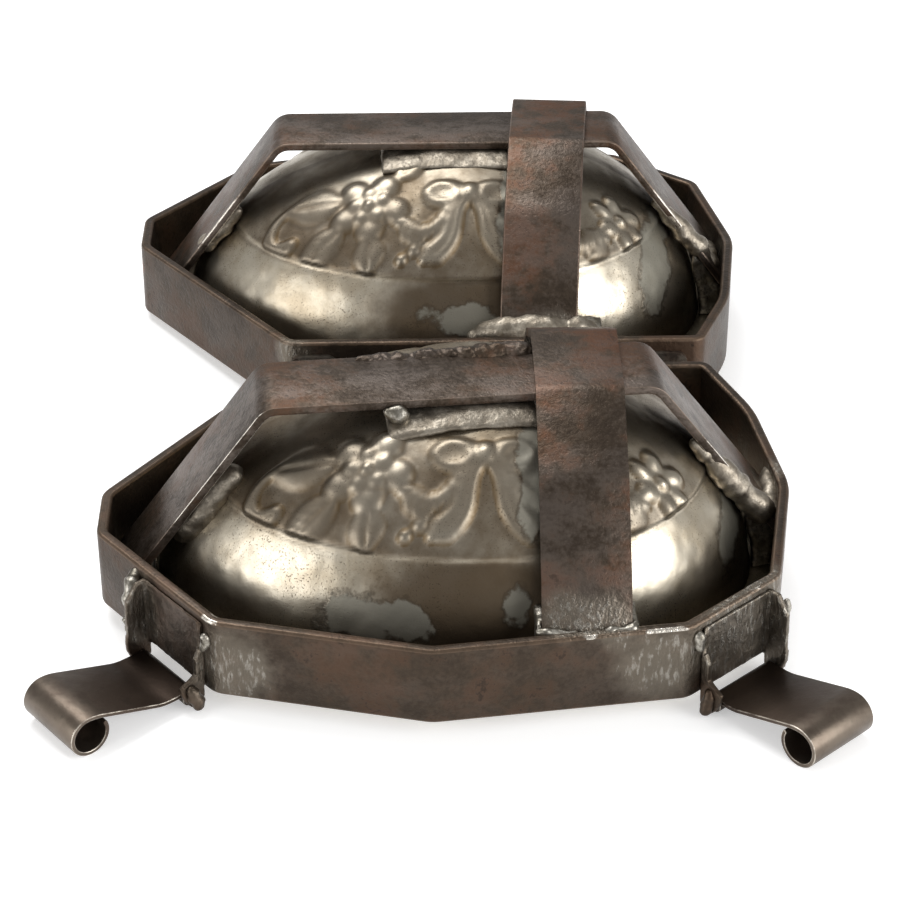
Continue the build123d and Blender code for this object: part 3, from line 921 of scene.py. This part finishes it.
# Loose solder: lines of places in millimetres on a half's rim plane, each with a radius
beads = {
    "front_left_leg": ("web", "front", [(-78, -113, 50, 5.5), (-87, -114, 40, 7.0), (-95, -114, 29, 6.0)]),
    "front_right_leg": ("web", "front", [
        (83, -104, 55, 2.6), (91, -103.5, 46, 4.0), (98, -103, 37, 5.0), (108, -101, 25, 5.0),
    ]),
    "front_right_end": ("web", "front", [(112, -98, 19, 4.0), (113, -86, 22, 4.2), (113.5, -74, 24, 3.0)]),
    "front_strap_back": ("ragged", "front", [
        (-44, -88.5, 79.5, 1.8), (-22, -86.5, 79.8, 3.0), (0, -84.6, 80, 3.4), (23, -82.6, 79.8, 4.6),
    ]),
    "front_crown_bead": ("run", "front", [(-23.5, -116.5, 78, 2.8), (-19.5, -116, 76.5, 3.8)]),
    "front_foot": ("run", "front", [(26, -177, 29.5, 1.8), (40, -177.5, 29.3, 1.3), (56, -175.5, 29.5, 2.0)]),
    "left_bead": ("run", "front", [(-85.0, -168.6, 23, 2.5), (-85.8, -168.2, 18.5, 2.1)]),
    "right_bead": ("run", "front", [(78.6, -174.6, 25, 2.3), (79.4, -174.0, 20, 1.9)]),
    "left_ear_top": ("run", "front", [
        (-110.5, -136, 26, 2.6), (-111.5, -140.5, 25, 3.2), (-112.2, -143.4, 19, 2.6),
    ]),
    "left_ear_side": ("run", "front", [
        (-113.6, -143.5, 12, 1.8), (-113.4, -143.8, 4, 1.5), (-112.0, -142.8, -2, 2.2),
    ]),
    "left_pin_end": ("foot", "front", [(-88.4, -170.8, -3.0, 3.0), (-90.4, -170.6, 2.5, 1.8)]),
    "right_pin_end": ("foot", "front", [(82.0, -177.6, -3.0, 2.8), (83.4, -176.6, 2.5, 1.8)]),
    "right_ear_side": ("run", "front", [
        (110.6, -152.6, 22, 1.8), (110.6, -154.0, 8, 1.6), (110.2, -154.0, -2.4, 2.2),
    ]),
    "rear_right_leg": ("web", "rear", [(85, 81, 53, 2.6), (93, 81, 44, 4.0), (103, 82, 32, 4.4)]),
    "rear_right_end": ("web", "rear", [(109, 84, 22, 3.8), (109.5, 100, 22, 4.0)]),
    "rear_left_leg": ("web", "rear", [(-84, 82, 50, 3.0), (-98, 82, 35, 4.2)]),
    "rear_foot": ("web", "rear", [
        (10, 20, 26, 3.6), (21, 17.5, 29, 6.0), (36, 16, 31, 6.2), (50, 16, 29.5, 5.6), (58, 18, 27, 4.0),
    ]),
}
beadLine = {"step": 1.6 * mm, "unevenness": (0.75, 1.15), "straying": 0.4, "roundness": 2}


def runBeads(name, kind, half, line):
    # balls along a line, joined and melted into one run
    rng = np.random.default_rng(sum(map(ord, name)))
    ends = [(spot(half, *place[:3]), place[3] * mm) for place in line]
    balls = []
    for (start, first), (end, last) in zip(ends, ends[1:]):
        count = max(2, round((end - start).length / beadLine["step"]))
        for k in range(count + 1):
            share = k / count
            radius = (first + (last - first) * share) * rng.uniform(*beadLine["unevenness"])
            aside = rng.uniform(-beadLine["straying"], beadLine["straying"], 3)
            centre = start.lerp(end, share) + Vector(aside) * mm
            bpy.ops.mesh.primitive_ico_sphere_add(
                subdivisions=beadLine["roundness"], radius=radius, location=centre
            )
            balls.append(bpy.context.object)
    run = join(balls)
    run.name = name + "_solder"
    bpy.ops.object.transform_apply(location=True)
    dress(run, melt(run, kind))
    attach(run, half + "_half")


for name, (kind, half, line) in beads.items():
    runBeads(name, kind, half, line)
print("beads ready")

# Floor, light and camera
studio = {
    "floorSize": 24.0,
    "floor": (0.86, 0.86, 0.86, 1.0),
    "floorGlow": 0.4,
    "world": 0.5,
    "aim": Vector((0, 0, 0.03)),
    "camera": hinge + Vector((-0.01957, -0.89571, 0.57415)),
    "pitch": 33.30,
    "yaw": 1.25,
    "focalPixels": 2734.7,
    "imagePixels": 900,
}

bpy.ops.object.select_all(action="DESELECT")
bpy.ops.mesh.primitive_plane_add(size=studio["floorSize"])
floor = bpy.context.object
floor.name = "floor"
paper = Shader("paper")
rays = paper.node("ShaderNodeLightPath")
seen = Wire(paper, rays.socket.node.outputs["Is Camera Ray"])
glossy = Wire(paper, rays.socket.node.outputs["Is Glossy Ray"])
paper.finish(
    Base_Color=studio["floor"], Roughness=0.9, Emission_Strength=studio["floorGlow"],
    Emission_Color=paper.mix((seen + glossy).clipped(), black, white),
)
dress(floor, paper.material)

world = bpy.data.worlds.new("studio")
world.use_nodes = True
bpy.context.scene.world = world
background = world.node_tree.nodes["Background"]
background.inputs["Color"].default_value = white
background.inputs["Strength"].default_value = studio["world"]

lamps = {
    "overhead": {"at": (-0.4, 0.6, 1.4), "size": 0.9, "power": 18},
    "leftSoft": {"at": (-1.35, -0.78, 0.42), "size": 0.85, "power": 10},
    "rightSoft": {"at": (1.2, -0.78, 0.48), "size": 1.0, "power": 18},
}
for name, lamp in lamps.items():
    bpy.ops.object.light_add(type="AREA", location=lamp["at"])
    light = bpy.context.object
    light.name = name
    light.data.energy = lamp["power"]
    light.data.size = lamp["size"]
    light.rotation_euler = (studio["aim"] - light.location).to_track_quat("-Z", "Y").to_euler()

bpy.ops.object.camera_add(location=studio["camera"])
camera = bpy.context.object
camera.rotation_euler = (radians(90 - studio["pitch"]), 0, -radians(studio["yaw"]))
camera.data.angle = 2 * atan(studio["imagePixels"] / 2 / studio["focalPixels"])
bpy.context.scene.camera = camera
bpy.context.scene.view_settings.view_transform = "Standard"
print("studio ready")
